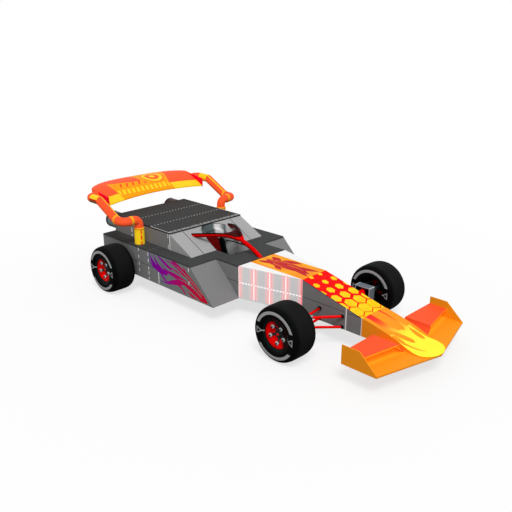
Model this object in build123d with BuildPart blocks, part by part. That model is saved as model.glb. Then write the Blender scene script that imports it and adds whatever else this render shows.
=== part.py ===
from build123d import *
import os

os.makedirs("parts", exist_ok=True)

# A formula one car at full size, in millimetres.
# X runs forward, Y to the car's left and Z up. The origin is on the ground under the middle of its length.

# ---- Driving dimensions -------------------------------------------------------------------------------
module = 230.0            # pitch of the body panels: every seam of the body falls on it
dash_x = 160.0            # front bulkhead of the body, ahead of the middle of the car
belly = 230.0             # ride height under the floor
panel = 20.0              # wall of the body panels
sheet = 12.0              # wall of the endplates and upright plates

body_half = 4 * module    # half width over the side pods
cell_half = 2 * module    # half width of the driver's cell
cover_half = 3 * module   # half width of the engine cover
nose_half = 1 * module    # half width of the nose box
wing_half = 4 * module    # half width over the front wing and between the rear wing's ends
deck = belly + 2 * module
waist = belly + module
cover_top = deck + module
roof_wall = 24.0

tail_x = dash_x - 11 * module
cover_x = dash_x - 5 * module        # front of the engine cover, where the seat bulkhead stands
ramp_foot_x = dash_x - 3 * module
pod_top_x = dash_x - 2 * module      # top of the side pods' sloping fronts
footwell_x = dash_x + 4 * module
nose_x = dash_x + 8 * module
tip_x = dash_x + 12 * module

tyre_radius = 345.0       # at the crown of the tread
tyre_width = 370.0
seat_radius = 208.0       # radius at which the tyre sits on the rim
dish_depth = 88.0         # from the tyre's outer face to the floor of the wheel's dish
dish_wall = 14.0
axle_radius = 30.0
run_gap = 0.05            # radial clearance of a turning fit
seat_gap = 0.3            # clearance between curved pieces that only rest together
end_gap = 3.0             # clearance between a spindle's end and the floor of its bore
wheel_gap = 58.0          # from a tyre's inner face to the upright or the body beside it
spindle_reach = tyre_width / 2 - dish_depth - dish_wall - end_gap    # past the wheel's middle plane

tail_overhang = 585.0     # from the rear axle to the tail
front_axle_x = dash_x + 5.5 * module
rear_axle_x = tail_x + tail_overhang
axle_z = tyre_radius
upright_inner, upright_outer = 2.5 * module, 3 * module
front_half_track = upright_outer + wheel_gap + tyre_width / 2
rear_half_track = body_half + wheel_gap + tyre_width / 2

PAIR = (("left", 1), ("right", -1))
SIDE_VIEW = Plane(origin=(0, 0, 0), x_dir=(1, 0, 0), z_dir=(0, -1, 0))    # local x, y are the car's X, Z


def save(piece, name):
    """Label a finished piece and write it to its own file."""
    piece.label = name
    export_step(piece, "parts/" + name + ".step")


def save_both(piece, name):
    """Save a piece built on the car's left and its mirror image on the right."""
    save(piece, name + "_left")
    save(mirror(piece, about=Plane.XZ), name + "_right")


def with_mirror(piece, name):
    """Save a piece built on the left together with its mirror image, as one node."""
    save(Compound(children=[piece, mirror(piece, about=Plane.XZ)]), name)


def side_plate(outline, y_low, y_high):
    """Plate standing across the car between two values of Y, from its outline in X and Z."""
    with BuildPart() as plate:
        with BuildSketch(SIDE_VIEW.offset(-y_high)):
            Polygon(*outline, align=None)
        extrude(amount=y_high - y_low)
    return plate.part


def flat_plate(outline, z_low, z_high):
    """Plate lying between two heights, from its outline in X and Y."""
    with BuildPart() as plate:
        with BuildSketch(Plane.XY.offset(z_low)):
            Polygon(*outline, align=None)
        extrude(amount=z_high - z_low)
    return plate.part


def slope_x(z):
    """X of the side pods' sloping front at a height: it drops two modules over two modules."""
    return dash_x + (pod_top_x - dash_x) * (z - belly) / (deck - belly)


def rod(start, end, radius):
    """Round bar between two points."""
    start, end = Vector(*start), Vector(*end)
    with BuildPart() as bar:
        with BuildSketch(Plane(origin=start, z_dir=end - start)):
            Circle(radius)
        extrude(amount=(end - start).length)
    return bar.part


# ---- Lower body ---------------------------------------------------------------------------------------
low, high = belly + panel, deck - panel      # between the floor's top and the deck's underside

with BuildPart() as floor_tray:
    with BuildSketch(SIDE_VIEW.offset(-body_half)):
        Polygon((tail_x, belly), (dash_x, belly), (slope_x(low), low), (tail_x, low), align=None)
    extrude(amount=2 * body_half)
    with BuildSketch(Plane.XY.offset(belly)):
        Polygon((cover_x, -cell_half), (dash_x, -cell_half), (dash_x, cell_half), (cover_x, cell_half),
                align=None)
    extrude(amount=panel)
save(floor_tray.part, "floor_tray")

# The deck is open over the engine bay and at the cockpit, whose front corners are rounded.
cockpit_half = module
cockpit_front_x = dash_x - 1.67 * module
cockpit_corner = 0.45 * module
bay_half = 2.6 * module
bay_rear_x = tail_x + module

with BuildPart() as deck_panel:
    with BuildSketch(SIDE_VIEW.offset(-body_half)):
        Polygon((tail_x + panel, high), (slope_x(high), high), (pod_top_x, deck), (tail_x + panel, deck),
                align=None)
    extrude(amount=2 * body_half)
    with BuildSketch(Plane.XY.offset(high)):
        Polygon((cover_x, -cell_half), (dash_x, -cell_half), (dash_x, cell_half), (cover_x, cell_half),
                align=None)
    extrude(amount=panel)
    with BuildSketch(Plane.XY.offset(high)) as mouth:
        with Locations(((cover_x + cockpit_front_x) / 2, 0)):
            Rectangle(cockpit_front_x - cover_x, 2 * cockpit_half)
        fillet(mouth.vertices().group_by(Axis.X)[-1], cockpit_corner)
    extrude(amount=panel, mode=Mode.SUBTRACT)
    with BuildSketch(Plane.XY.offset(high)):
        with Locations(((bay_rear_x + cover_x) / 2, 0)):
            Rectangle(cover_x - bay_rear_x, 2 * bay_half)
    extrude(amount=panel, mode=Mode.SUBTRACT)
save(deck_panel.part, "deck_panel")

# The sloping front plates of the pods run between floor and deck; the side panels end behind them.
plate_run = panel * ((slope_x(low) - slope_x(high)) ** 2 + (high - low) ** 2) ** 0.5 / (high - low)
slope = [(slope_x(low), low), (slope_x(high), high), (slope_x(high) - plate_run, high),
         (slope_x(low) - plate_run, low)]
with_mirror(side_plate(slope, cell_half, body_half), "pod_fronts")

axle_window = axle_radius + 15    # hole in each side panel that the rear axle passes
with BuildPart() as side_panel:
    with BuildSketch(SIDE_VIEW.offset(-body_half)):
        Polygon((tail_x + panel, low), (slope_x(low) - plate_run, low), (slope_x(high) - plate_run, high),
                (tail_x + panel, high), align=None)
        with Locations((rear_axle_x, axle_z)):
            Circle(axle_window, mode=Mode.SUBTRACT)
    extrude(amount=panel)
save_both(side_panel.part, "side_panel")

# The cell has an outer skin and, under the edges of the cockpit's mouth, the liners beside the driver.
cell_wall = [(cover_x, low), (dash_x, low), (dash_x, high), (cover_x, high)]
with BuildPart() as cell_wall_pair:
    for outer in (cell_half, cockpit_half + panel):
        with BuildSketch(SIDE_VIEW.offset(-outer)):
            Polygon(*cell_wall, align=None)
        extrude(amount=panel)
with_mirror(cell_wall_pair.part, "cell_walls")

with BuildPart() as tail_panel:
    with BuildSketch(Plane.YZ.offset(tail_x)):
        Polygon((-body_half, low), (body_half, low), (body_half, deck), (cover_half, deck),
                (cover_half, cover_top), (-cover_half, cover_top), (-cover_half, deck),
                (-body_half, deck), align=None)
    extrude(amount=panel)
save(tail_panel.part, "tail_panel")

inner_half = body_half - panel
with BuildPart() as seat_bulkhead:
    with BuildSketch(Plane.YZ.offset(cover_x - panel)):
        Polygon((-inner_half, low), (inner_half, low), (inner_half, high), (bay_half, high),
                (bay_half, cover_top), (-bay_half, cover_top), (-bay_half, high), (-inner_half, high),
                align=None)
    extrude(amount=panel)
save(seat_bulkhead.part, "seat_bulkhead")

# ---- Engine cover, roof and the ramps beside the cockpit --------------------------------------------------
cover_side = [(tail_x + panel, deck), (cover_x, deck), (cover_x, cover_top), (tail_x + panel, cover_top)]
with_mirror(side_plate(cover_side, cover_half - panel, cover_half), "cover_sides")

roof = [(tail_x, -cover_half), (cover_x, -cover_half), (cover_x, cover_half), (tail_x, cover_half)]
save(flat_plate(roof, cover_top, cover_top + roof_wall), "roof_panel")

# Each ramp falls from the roof to the deck. Its inner edge rounds the headrest and opens towards the front.
rest_radius = 0.87 * module
rest_x = cover_x + 0.78 * module      # middle of the headrest's round
rest_lip = (rest_radius ** 2 - (rest_x - cover_x) ** 2) ** 0.5     # half its width at the seat bulkhead
rest_back = (rest_x - rest_radius * 0.7, rest_radius * (1 - 0.7 ** 2) ** 0.5)
with BuildPart() as cockpit_ramp:
    with BuildSketch(SIDE_VIEW.offset(-cover_half)):
        Polygon((cover_x, deck), (ramp_foot_x, deck), (cover_x, cover_top), align=None)
    extrude(amount=cover_half)
    with BuildSketch(Plane.XY.offset(deck)):
        with BuildLine():
            ThreePointArc((ramp_foot_x, cockpit_half), (ramp_foot_x - 0.7 * module, 0.95 * module),
                          (rest_x, rest_radius))
            ThreePointArc((rest_x, rest_radius), rest_back, (cover_x, rest_lip))
            Polyline((cover_x, rest_lip), (cover_x, 0), (ramp_foot_x, 0), (ramp_foot_x, cockpit_half))
        make_face()
    extrude(amount=module, mode=Mode.SUBTRACT)
save_both(cockpit_ramp.part, "cockpit_ramp")

# ---- Footwell and nose --------------------------------------------------------------------------------
footwell = [(dash_x, -cell_half), (footwell_x, -nose_half), (footwell_x, nose_half), (dash_x, cell_half)]
save(flat_plate(footwell, belly, low), "footwell_floor")
save(flat_plate(footwell, high, deck), "footwell_top")
footwell_side = [(dash_x, cell_half), (footwell_x, nose_half), (footwell_x, nose_half - panel),
                 (dash_x, cell_half - panel)]
with_mirror(flat_plate(footwell_side, low, high), "footwell_sides")

box = [(footwell_x, belly), (nose_x, belly), (nose_x, waist), (footwell_x, waist)]
save(side_plate(box, -nose_half, nose_half), "nose_box")
wedge = [(footwell_x, waist), (nose_x, waist), (footwell_x, deck)]
save(side_plate(wedge, -nose_half, nose_half), "nose_wedge")

# The nose cone droops onto the front wing's plane and ends in a half ellipse seen from above.
plane_top = belly + panel
wing_rear_x = nose_x + module
tip_wall = 8.0
round_x = tip_x - 0.8 * module
with BuildPart() as nose_cone:
    with BuildSketch(SIDE_VIEW.offset(-nose_half)):
        with BuildLine():
            Spline((nose_x, waist), (wing_rear_x, waist - 0.20 * module),
                   (wing_rear_x + module, waist - 0.47 * module),
                   (wing_rear_x + 2 * module, waist - 0.82 * module), (tip_x, plane_top + tip_wall),
                   tangents=((1, -0.1), (1, -0.03)))
            Polyline((tip_x, plane_top + tip_wall), (tip_x, plane_top), (wing_rear_x, plane_top),
                     (wing_rear_x, belly), (nose_x, belly), (nose_x, waist))
        make_face()
    extrude(amount=2 * nose_half)
    with BuildSketch(Plane.XY.offset(belly)):
        with Locations((round_x, 0)):
            Ellipse(tip_x - round_x, nose_half)
        with Locations(((nose_x + round_x) / 2, 0)):
            Rectangle(round_x - nose_x, 2 * nose_half)
    extrude(amount=module, mode=Mode.INTERSECT)
save(nose_cone.part, "nose_cone")

# ---- Front wing -----------------------------------------------------------------------------------------
end_front_x = tip_x - module        # where the leading edge meets the endplates
plate_y = wing_half - sheet
main_plane = [(wing_rear_x, -plate_y), (end_front_x, -plate_y), (tip_x, 0), (end_front_x, plate_y),
              (wing_rear_x, plate_y)]
save(flat_plate(main_plane, belly, plane_top), "front_wing")

endplate = [(wing_rear_x, belly), (end_front_x, belly), (end_front_x, plane_top),
            (end_front_x - module, waist), (wing_rear_x, waist)]
with_mirror(side_plate(endplate, plate_y, wing_half), "front_endplates")

# A flap is flat from the endplate inwards, then curls down in a quarter circle onto the main plane.
flap_wall = 14.0
flap_top = plane_top + 0.52 * module
flap_curl = 0.42 * module
flap_root = 1.03 * module
with BuildPart() as front_flap:
    with BuildSketch(Plane.YZ.offset(wing_rear_x)):
        with BuildLine():
            Line((plate_y, flap_top), (flap_root + flap_curl, flap_top))
            RadiusArc((flap_root + flap_curl, flap_top), (flap_root, flap_top - flap_curl), flap_curl)
            Polyline((flap_root, flap_top - flap_curl), (flap_root, plane_top),
                     (flap_root + flap_wall, plane_top), (flap_root + flap_wall, flap_top - flap_curl))
            RadiusArc((flap_root + flap_wall, flap_top - flap_curl),
                      (flap_root + flap_curl, flap_top - flap_wall), flap_wall - flap_curl)
            Polyline((flap_root + flap_curl, flap_top - flap_wall), (plate_y, flap_top - flap_wall),
                     (plate_y, flap_top))
        make_face()
    extrude(amount=1.7 * module)
    with BuildSketch(Plane.XY.offset(belly)):
        Polygon((wing_rear_x, 0), (wing_rear_x + 1.58 * module, flap_root),
                (wing_rear_x + module, wing_half), (wing_rear_x, wing_half), align=None)
    extrude(amount=2 * module, mode=Mode.INTERSECT)
save_both(front_flap.part, "front_flap")

# ---- Driver's place -------------------------------------------------------------------------------------
# The halo's pillar rises from the bulkhead to the crown; from there two arms run back and end on the ramps.
halo_radius = 30.0
pillar_radius = 31.0
pillar_x = dash_x - 0.22 * module
crown = (dash_x - 1.76 * module, 0, deck + 0.70 * module)
arm_points = [(dash_x - 1.93 * module, 0.14 * module, deck + 0.77 * module),
              (dash_x - 2.30 * module, 0.37 * module, deck + 0.89 * module),
              (dash_x - 3.12 * module, 0.90 * module, deck + 0.93 * module),
              (dash_x - 3.95 * module, 1.37 * module, deck + 0.84 * module),
              (dash_x - 4.75 * module, 1.55 * module, deck + 0.69 * module)]
web_wall = 16.0
web_rear_x = dash_x - 2.86 * module   # middle of the web between the arms behind the crown
web_rise = 0.23                       # rise of the web for its run rearwards
foot_dip = 0.2 * module               # the pillar starts this far below the deck and is cut off flush
ramp_plane = Plane(origin=(ramp_foot_x, 0, deck), z_dir=(cover_top - deck, 0, ramp_foot_x - cover_x))
web_end_x, web_end_y = arm_points[2][0], arm_points[2][1]
web_end_z = crown[2] + web_rise * (crown[0] - web_end_x)
with BuildPart() as web:
    with BuildSketch(SIDE_VIEW.offset(-web_end_y)):
        Polygon((crown[0], crown[2] - web_wall / 2), (crown[0], crown[2] + web_wall / 2),
                (web_end_x, web_end_z + web_wall / 2), (web_end_x, web_end_z - web_wall / 2), align=None)
    extrude(amount=2 * web_end_y)
    with BuildSketch(Plane.XY.offset(deck)):
        with BuildLine():
            Polyline(*[(x, -y) for x, y, z in reversed(arm_points[:3])], crown[:2],
                     *[(x, y) for x, y, z in arm_points[:3]])
            ThreePointArc((web_end_x, web_end_y), (web_rear_x, 0), (web_end_x, -web_end_y))
        make_face()
    extrude(amount=2 * module, mode=Mode.INTERSECT)

with BuildPart() as halo:
    with BuildLine():
        pillar = Spline((pillar_x + foot_dip, 0, deck - foot_dip),
                        (dash_x - 0.63 * module, 0, deck + 0.24 * module),
                        (dash_x - 1.01 * module, 0, deck + 0.41 * module), crown)
    with BuildSketch(Plane(origin=pillar @ 0, z_dir=pillar % 0)):
        Circle(pillar_radius)
    sweep(path=pillar)
    for name, side in PAIR:
        with BuildLine():
            arm = Spline(crown, *[(x, side * y, z) for x, y, z in arm_points])
        with BuildSketch(Plane(origin=arm @ 0, z_dir=arm % 0)):
            Circle(halo_radius)
        sweep(path=arm)
    with Locations(crown):
        Sphere(pillar_radius)
    add(web.part)
    split(bisect_by=Plane.XY.offset(deck), keep=Keep.TOP)
    split(bisect_by=ramp_plane, keep=Keep.TOP)
save(halo.part, "halo")

# The headrest is a round collar open to the front; it stands on the deck's level inside the ramps' edges.
rest_wall = 18.0
rest_thin = 10.0          # its wall in the middle, where it leans on the bulkhead
rest_skin = rest_radius - seat_gap
rest_foot = high
inner_radius = rest_radius - rest_wall
inner_x = cover_x + rest_thin + inner_radius
with BuildPart() as headrest:
    with BuildSketch(Plane.XY.offset(rest_foot)):
        with Locations((rest_x, 0)):
            Circle(rest_skin)
        with Locations((inner_x, 0)):
            Circle(inner_radius, mode=Mode.SUBTRACT)
        with Locations((cover_x + (inner_x - cover_x) / 2, 0)):
            Rectangle(inner_x - cover_x, 2 * rest_radius, mode=Mode.INTERSECT)
    extrude(amount=cover_top - rest_foot)
save(headrest.part, "headrest")

# The seat stands on the floor inside the collar: a squab, a leaning back and a bolster on each side.
seat_half = inner_radius - 2.0
bolster = 30.0
squab = 60.0
seat_top = deck + 0.45 * module
back_top_x, back_foot_x = cover_x + 0.30 * module, cover_x + 0.85 * module
squab_front_x = cover_x + 2.4 * module
seat_side = [(cover_x, low), (squab_front_x, low), (squab_front_x, low + squab), (back_foot_x, low + squab),
             (back_top_x, seat_top), (cover_x, seat_top)]
bolster_side = [(cover_x, low), (squab_front_x, low), (squab_front_x, low + 2 * squab),
                (back_foot_x + 0.4 * module, low + 2.2 * squab), (cover_x + 0.80 * module, deck),
                (cover_x + 0.47 * module, seat_top), (cover_x, seat_top)]
with BuildPart() as seat:
    with BuildSketch(SIDE_VIEW.offset(-seat_half)):
        Polygon(*seat_side, align=None)
    extrude(amount=2 * seat_half)
    for name, side in PAIR:
        with BuildSketch(SIDE_VIEW.offset(-side * (seat_half - bolster / 2) - bolster / 2)):
            Polygon(*bolster_side, align=None)
        extrude(amount=bolster)
    with BuildSketch(Plane.XY.offset(low)):
        with Locations((inner_x, 0)):
            Circle(seat_half)
        with Locations(((inner_x + squab_front_x) / 2, 0)):
            Rectangle(squab_front_x - inner_x, 2 * seat_half)
    extrude(amount=seat_top - low, mode=Mode.INTERSECT)
save(seat.part, "seat")

# The column hangs from the deck behind the front bulkhead; the steering wheel turns on its end.
column_radius = 16.0
hub_radius = 32.0
hub_depth = 44.0
grip_width, grip_height, grip_wall = 280.0, 170.0, 26.0
wheel_at = Vector(dash_x - 2.0 * module, 0, deck - 0.5 * module)
column_fall = 0.2         # drop of the column for its run forward
to_driver = Vector(-1, 0, column_fall).normalized()
wheel_plane = Plane(origin=wheel_at, x_dir=(0, 1, 0), z_dir=to_driver)
column_length = 1.4 * module
hanger_x = wheel_at.X + 1.2 * module

with BuildPart() as steering_column:
    with BuildSketch(wheel_plane.offset(-column_length)):
        Circle(column_radius)
    extrude(amount=column_length)
    with BuildSketch(Plane.XY.offset(high)):
        with Locations((hanger_x, 0)):
            Rectangle(50, 60)
    extrude(amount=wheel_at.Z - column_fall * (hanger_x - wheel_at.X) - high)
save(steering_column.part, "steering_column")

with BuildPart() as steering_wheel:
    with BuildSketch(wheel_plane.offset(-grip_wall / 2)):
        RectangleRounded(grip_width, grip_height, 0.3 * grip_height)
        with Locations((-0.33 * grip_width, 0), (0.33 * grip_width, 0)):
            RectangleRounded(0.16 * grip_width, 0.5 * grip_height, 0.06 * grip_width, mode=Mode.SUBTRACT)
    extrude(amount=grip_wall)
    with BuildSketch(wheel_plane.offset(-hub_depth)):
        Circle(hub_radius)
    extrude(amount=hub_depth)
    with BuildSketch(wheel_plane.offset(-hub_depth)):
        Circle(column_radius + run_gap)
    extrude(amount=hub_depth + run_gap, mode=Mode.SUBTRACT)
save(steering_wheel.part, "steering_wheel")

# The engine stands on the floor between the seat bulkhead and the rear axle.
engine_half, engine_height = 260.0, 400.0
engine_gap = 50.0
engine_front_x = cover_x - panel - engine_gap
engine_rear_x = rear_axle_x + axle_radius + 2 * engine_gap
engine = [(engine_rear_x, -engine_half), (engine_front_x, -engine_half),
          (engine_front_x, engine_half), (engine_rear_x, engine_half)]
save(flat_plate(engine, low, low + engine_height), "engine_block")

# ---- Rear wing, its pipe arms and the exhausts ------------------------------------------------------------
# The plane keeps one section across the car; seen from above both its edges are arcs.
wing_front_x = dash_x - 10.0 * module
wing_front_bow = 0.37 * module        # how far the leading edge lies back in the middle
wing_end_x = dash_x - 11.96 * module
wing_rear_mid_x = -tip_x
wing_front_z = deck + 2.13 * module
wing_rear_z = deck + 2.91 * module
wing_wall = 18.0
fin_depth, fin_dip, fin_rise = 100.0, 25.0, 112.0     # end fins: below the rear, below and above the front
with BuildPart() as rear_wing:
    with BuildSketch(SIDE_VIEW.offset(-plate_y)):
        with BuildLine():
            upper = Spline((wing_front_x, wing_front_z), (wing_end_x, wing_rear_z),
                           (wing_rear_mid_x, wing_rear_z - 0.04 * module),
                           tangents=((-1, 0.45), (-1, -0.2)))
            Line(upper @ 1, upper @ 1 - (0, wing_wall))
            lower = Spline(upper @ 1 - (0, wing_wall), (wing_end_x, wing_rear_z - wing_wall),
                           upper @ 0 - (0, wing_wall), tangents=((1, 0.2), (1, -0.45)))
            Line(lower @ 1, upper @ 0)
        make_face()
    extrude(amount=2 * plate_y)
    with BuildSketch(Plane.XY.offset(deck)):
        with BuildLine():
            ThreePointArc((wing_end_x, -wing_half), (wing_rear_mid_x, 0), (wing_end_x, wing_half))
            Line((wing_end_x, wing_half), (wing_front_x, wing_half))
            ThreePointArc((wing_front_x, wing_half), (wing_front_x - wing_front_bow, 0),
                          (wing_front_x, -wing_half))
            Line((wing_front_x, -wing_half), (wing_end_x, -wing_half))
        make_face()
    extrude(amount=4 * module, mode=Mode.INTERSECT)
    for name, side in PAIR:
        with BuildSketch(SIDE_VIEW.offset(-side * (wing_half - sheet / 2) - sheet / 2)):
            Polygon((wing_end_x, wing_rear_z - fin_depth), (wing_front_x, wing_front_z - fin_dip),
                    (wing_front_x, wing_front_z + fin_rise), (wing_end_x, wing_rear_z), align=None)
        extrude(amount=sheet)
save(rear_wing.part, "rear_wing")

# Each arm is one bent pipe: up from the deck, outwards, back, up, level again, then in to the wing.
pipe_radius = 0.28 * module
bend = 0.36 * module
sleeve_radius = 0.32 * module
sleeve_height = 0.95 * module
foot_x, foot_y = dash_x - 7.5 * module, 3.5 * module
arm_y = 4.6 * module
run_z = deck + 1.58 * module
back_z = deck + 2.52 * module
rise_x, level_x = dash_x - 8.26 * module, dash_x - 10.09 * module      # ends of the rising part
wing_pipe_x = dash_x - 11.3 * module
with BuildPart() as wing_arm:
    with BuildLine() as route:
        FilletPolyline((foot_x, foot_y, deck), (foot_x, foot_y, run_z), (foot_x, arm_y, run_z),
                       (rise_x, arm_y, run_z), (level_x, arm_y, back_z), (wing_pipe_x, arm_y, back_z),
                       (wing_pipe_x, wing_half, back_z), radius=bend)
    with BuildSketch(Plane.XY.offset(deck)):
        with Locations((foot_x, foot_y)):
            Circle(pipe_radius)
    sweep(path=route.wires()[0])
    with BuildSketch(Plane.XY.offset(deck)):
        with Locations((foot_x, foot_y)):
            Circle(sleeve_radius)
    extrude(amount=sleeve_height)
save_both(wing_arm.part, "wing_arm")

exhaust_radius = 0.56 * module
exhaust_wall = 8.0
exhaust_y, exhaust_z = 2.48 * module, deck + 0.5 * module
exhaust_length = 1.07 * module
with BuildPart() as exhaust:
    with BuildSketch(Plane(origin=(tail_x, exhaust_y, exhaust_z), z_dir=(-1, 0, 0))):
        Circle(exhaust_radius)
    extrude(amount=exhaust_length)
    with BuildSketch(Plane(origin=(tail_x - exhaust_wall, exhaust_y, exhaust_z), z_dir=(-1, 0, 0))):
        Circle(exhaust_radius - exhaust_wall)
    extrude(amount=exhaust_length, mode=Mode.SUBTRACT)
with_mirror(exhaust.part, "exhausts")

# ---- Rear axle ------------------------------------------------------------------------------------------
# One beam through both side panels, with a flange bolted flat on each.
flange_radius, flange_wall = 90.0, 25.0
with BuildPart() as rear_axle:
    with BuildSketch(Plane(origin=(rear_axle_x, -rear_half_track - spindle_reach, axle_z), z_dir=(0, 1, 0))):
        Circle(axle_radius)
    extrude(amount=2 * (rear_half_track + spindle_reach))
    for name, side in PAIR:
        with BuildSketch(Plane(origin=(rear_axle_x, side * body_half, axle_z), z_dir=(0, side, 0))):
            Circle(flange_radius)
        extrude(amount=flange_wall)
save(rear_axle.part, "rear_axle")

# ---- Front suspension -------------------------------------------------------------------------------------
# A kingpin inside each open-backed upright passes the eyes of the upper and the lower wishbone.
upright_half = module / 2
kingpin_y = upright_inner + 24.0
kingpin_radius = 14.0
eye_radius, eye_half = kingpin_radius + 13, 20.0
leg_radius = 16.0
leg_front_x = dash_x + 6.78 * module
leg_rear_x = dash_x + 5.27 * module
upper_z, lower_z = deck - 1.27 * module, deck - 1.80 * module
socket = 22.0             # how far the sockets stand out of the nose box
lower_fall = 18.0         # the lower wishbone falls this far towards the nose box

with BuildPart() as upright:
    with BuildSketch(Plane.XY.offset(belly)):
        with Locations((front_axle_x, (upright_inner + upright_outer) / 2)):
            Rectangle(2 * upright_half, upright_outer - upright_inner)
    extrude(amount=module)
    with BuildSketch(Plane.XY.offset(belly + sheet)):
        with Locations((front_axle_x, (upright_inner + upright_outer) / 2 - sheet)):
            Rectangle(2 * (upright_half - sheet), upright_outer - upright_inner)
    extrude(amount=module - 2 * sheet, mode=Mode.SUBTRACT)
    with BuildSketch(Plane.XY.offset(belly)):
        with Locations((front_axle_x, kingpin_y)):
            Circle(kingpin_radius)
    extrude(amount=module)
    with BuildSketch(Plane(origin=(front_axle_x, upright_outer - sheet, axle_z), z_dir=(0, 1, 0))):
        Circle(axle_radius)
    extrude(amount=front_half_track + spindle_reach - upright_outer + sheet)
save_both(upright.part, "upright")


def wishbone(z, fall):
    """A-arm: an eye round the kingpin at a height and two legs falling to sockets on the nose box."""
    with BuildPart() as arm:
        for x in (leg_front_x, leg_rear_x):
            add(rod((front_axle_x, kingpin_y, z), (x, nose_half + socket / 2, z - fall), leg_radius))
            with Locations((x, nose_half + socket / 2, z - fall)):
                Box(2 * socket, socket, 1.6 * socket)
        with BuildSketch(Plane.XY.offset(z - eye_half)):
            with Locations((front_axle_x, kingpin_y)):
                Circle(eye_radius)
        extrude(amount=2 * eye_half)
        with BuildSketch(Plane.XY.offset(z - eye_half)):
            with Locations((front_axle_x, kingpin_y)):
                Circle(kingpin_radius + run_gap)
        extrude(amount=2 * eye_half, mode=Mode.SUBTRACT)
    return arm.part


save_both(Compound(children=[wishbone(upper_z, 0), wishbone(lower_z, lower_fall)]), "front_wishbones")

# ---- Wheels ---------------------------------------------------------------------------------------------
# Sections are drawn as radius from the axle against distance outwards from the wheel's middle plane.
rim_half = tyre_width / 2 - 4.0
lip_wall = 10.0
rim_lip = seat_radius + lip_wall
barrel_wall = 12.0
bead = 24.0               # how far the tyre's flat sidewall starts from the rim's lip
crown_curve = [(0.78, 1.0), (1.012, 1.0), (1.0, 0.65)]     # Bezier points, as parts of radius and width
dish_radius = seat_radius - 34       # edge of the dished centre
dish_edge = tyre_width / 2 - 34
dish_floor = tyre_width / 2 - dish_depth
hub_outer = axle_radius + 28
hub_inner = 22.0

outer_crown = [(tyre_radius * r, tyre_width / 2 * w) for r, w in crown_curve]
inner_crown = [(r, -w) for r, w in reversed(outer_crown)]
tyre_foot = [inner_crown[-1], (rim_lip + bead, -tyre_width / 2), (rim_lip + seat_gap, -rim_half),
             (rim_lip + seat_gap, -rim_half + lip_wall + seat_gap),
             (seat_radius + seat_gap, -rim_half + lip_wall + seat_gap),
             (seat_radius + seat_gap, rim_half - lip_wall - seat_gap),
             (rim_lip + seat_gap, rim_half - lip_wall - seat_gap), (rim_lip + seat_gap, rim_half),
             (rim_lip + bead, tyre_width / 2), outer_crown[0]]
rim_section = [(seat_radius - barrel_wall, -rim_half), (rim_lip, -rim_half),
               (rim_lip, -rim_half + lip_wall), (seat_radius, -rim_half + lip_wall),
               (seat_radius, rim_half - lip_wall), (rim_lip, rim_half - lip_wall), (rim_lip, rim_half),
               (dish_radius, dish_edge), (hub_outer, dish_floor), (0, dish_floor),
               (0, dish_floor - dish_wall), (axle_radius + run_gap, dish_floor - dish_wall),
               (axle_radius + run_gap, hub_inner), (hub_outer, hub_inner),
               (hub_outer, dish_floor - dish_wall), (dish_radius, dish_edge - dish_wall),
               (seat_radius - barrel_wall, dish_edge - dish_wall)]

for end, x, track in (("front", front_axle_x, front_half_track), ("rear", rear_axle_x, rear_half_track)):
    for name, side in PAIR:
        hub_plane = Plane(origin=(x, side * track, axle_z), x_dir=(1, 0, 0), z_dir=(0, 0, side))
        spin_axis = Axis(hub_plane.origin, hub_plane.y_dir)
        with BuildPart() as tyre:
            with BuildSketch(hub_plane):
                with BuildLine():
                    Polyline(*tyre_foot)
                    Bezier(*outer_crown, (tyre_radius, 0))
                    Bezier((tyre_radius, 0), *inner_crown)
                make_face()
            revolve(axis=spin_axis)
        save(tyre.part, "tyre_" + end + "_" + name)
        with BuildPart() as rim:
            with BuildSketch(hub_plane):
                Polygon(*rim_section, align=None)
            revolve(axis=spin_axis)
        save(rim.part, "rim_" + end + "_" + name)
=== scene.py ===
"""Looks of a low single-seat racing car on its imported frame. Metres; +X is the nose, +Y its left, +Z up."""

import math
from functools import reduce

import bmesh
import bpy
import numpy as np
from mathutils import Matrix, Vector


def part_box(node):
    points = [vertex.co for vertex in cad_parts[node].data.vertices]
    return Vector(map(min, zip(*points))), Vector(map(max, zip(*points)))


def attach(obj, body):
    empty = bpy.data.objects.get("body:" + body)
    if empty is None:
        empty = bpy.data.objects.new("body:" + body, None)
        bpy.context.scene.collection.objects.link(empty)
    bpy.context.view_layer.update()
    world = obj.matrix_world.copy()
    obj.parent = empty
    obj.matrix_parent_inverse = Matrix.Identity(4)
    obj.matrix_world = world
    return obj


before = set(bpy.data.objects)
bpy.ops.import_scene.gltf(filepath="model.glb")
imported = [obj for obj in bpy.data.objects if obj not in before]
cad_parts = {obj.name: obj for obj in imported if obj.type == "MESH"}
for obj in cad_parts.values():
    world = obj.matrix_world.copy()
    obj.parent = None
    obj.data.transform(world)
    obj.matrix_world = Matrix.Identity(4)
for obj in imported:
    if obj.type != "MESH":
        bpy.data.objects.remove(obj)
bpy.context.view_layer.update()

# ---------------- places that the panels share

MODULE = 0.23
DASH_X, WEDGE_X = (corner.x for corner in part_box("footwell_top"))
CONE_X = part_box("nose_wedge")[1].x
TIP_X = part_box("nose_cone")[1].x
DECK_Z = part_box("deck_panel")[1].z
BELLY_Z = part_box("floor_tray")[0].z
WAIST_Z = (DECK_Z + BELLY_Z) / 2
ROOF_LOW, ROOF_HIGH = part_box("roof_panel")
COVER_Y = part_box("cover_sides")[1].y
ARM_BAND_X = -1.735
SIDES = (("left", 1), ("right", -1))


def station(modules):
    """Place along the car: a number of modules ahead of the dash."""
    return DASH_X + modules * MODULE


def middle_of(node):
    """Middle of a node's box."""
    low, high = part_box(node)
    return (low + high) / 2


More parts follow.
